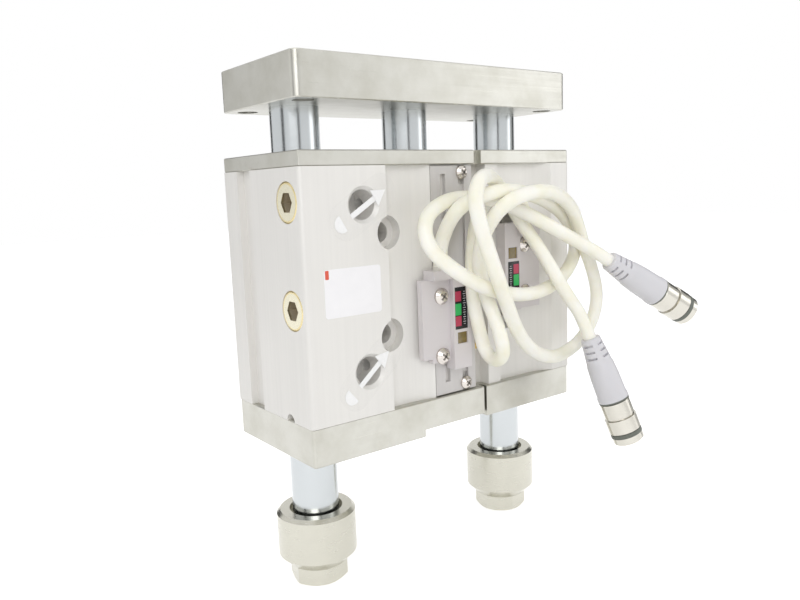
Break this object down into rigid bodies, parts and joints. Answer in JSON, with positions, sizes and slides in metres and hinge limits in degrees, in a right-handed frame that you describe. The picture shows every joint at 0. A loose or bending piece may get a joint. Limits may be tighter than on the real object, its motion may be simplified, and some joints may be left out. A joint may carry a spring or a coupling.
{
  "type": "guided pneumatic cylinder",
  "caption": "Compact cylinder that pushes a tooling plate on a piston rod between guide rods, with stop collars and corded position switches.",
  "frame": {"origin": "centre of the body's rectangular pattern of through bolts, on the axis of the piston rod", "axes": "+Z along the rods towards the tooling plate, X across the wide face, -Y out of the face with the ports and switches"},
  "size_m": [0.1914, 0.1097, 0.2178],
  "materials": {
    "anodised_body": "satin clear anodised",
    "nickel_plate": "fine brushed nickel plate",
    "hard_chrome": "polished hard chrome",
    "nickel_steel": "turned nickel plate",
    "zinc_screw": "bright zinc plate",
    "brass": "yellow passivated",
    "rail_aluminium": "satin",
    "cover_aluminium": "turned",
    "bushing_steel": "ground",
    "cage_resin": "moulded",
    "bronze": "turned",
    "black_rubber": "matt",
    "magnet": "matt",
    "switch_resin": "moulded",
    "display_black": "gloss",
    "lens_amber": "gloss",
    "cord_cream": "satin sheath",
    "connector_resin": "satin overmould",
    "nut_metal": "nickel plated",
    "contact_black": "moulded"
  },
  "bodies": {
    "cylinder": {"bushing_ball_cages": "cage_resin", "bushing_left_lower": "bushing_steel", "bushing_left_upper": "bushing_steel", "bushing_right_lower": "bushing_steel", "bushing_right_upper": "bushing_steel", "channel_nut": "rail_aluminium", "channel_screw": "brass", "connector_left_insert": "contact_black", "connector_left_shell": "connector_resin", "connector_right_insert": "contact_black", "connector_right_shell": "connector_resin", "cord_left": "cord_cream", "cord_right": "cord_cream", "cylinder_body": "anodised_body", "guide_rod_wipers": "black_rubber", "head_cover": "cover_aluminium", "head_cover_oring": "black_rubber", "head_end_plate": "nickel_plate", "head_end_plate_screws": "zinc_screw", "head_retaining_ring": "bushing_steel", "port_plugs": "brass", "rail_screws": "zinc_screw", "rod_bush": "bronze", "rod_cover": "cover_aluminium", "rod_cover_oring": "black_rubber", "rod_end_plate": "nickel_plate", "rod_end_plate_screws": "zinc_screw", "rod_retaining_ring": "bushing_steel", "rod_scraper": "black_rubber", "rod_seal": "black_rubber", "switch_left_display": "display_black", "switch_left_grommet": "cord_cream", "switch_left_housing": "switch_resin", "switch_left_lens": "lens_amber", "switch_left_screws": "zinc_screw", "switch_rail": "rail_aluminium", "switch_right_display": "display_black", "switch_right_grommet": "cord_cream", "switch_right_housing": "switch_resin", "switch_right_lens": "lens_amber", "switch_right_screws": "zinc_screw", "switch_seat_right": "rail_aluminium"},
    "slider": {"tooling_plate": "nickel_plate", "plate_bolts": "zinc_screw", "piston_rod": "hard_chrome", "piston": "cover_aluminium", "piston_nut": "zinc_screw", "piston_seals": "black_rubber", "piston_wear_ring": "cage_resin", "piston_magnet": "magnet", "piston_bumpers": "black_rubber", "guide_rod_left": "hard_chrome", "guide_rod_right": "hard_chrome", "stop_collar_left": "nickel_steel", "stop_collar_right": "nickel_steel", "stop_bolts": "nickel_steel"},
    "left_nut": {"connector_left_nut": "nut_metal"},
    "right_nut": {"connector_right_nut": "nut_metal"}
  },
  "joints": [
    {"name": "stroke", "type": "slide", "parent": "cylinder", "child": "slider", "axis": [0, 0, 1], "range_m": [0, 0.025]},
    {"name": "left_nut_turn", "type": "hinge", "parent": "cylinder", "child": "left_nut", "pos_m": [0.1053, -0.06822, -0.02008], "axis": [0.8024, -0.2705, -0.5319], "continuous": true},
    {"name": "right_nut_turn", "type": "hinge", "parent": "cylinder", "child": "right_nut", "pos_m": [0.07134, -0.06499, -0.07173], "axis": [0.2491, -0.2407, -0.9381], "continuous": true}
  ]
}
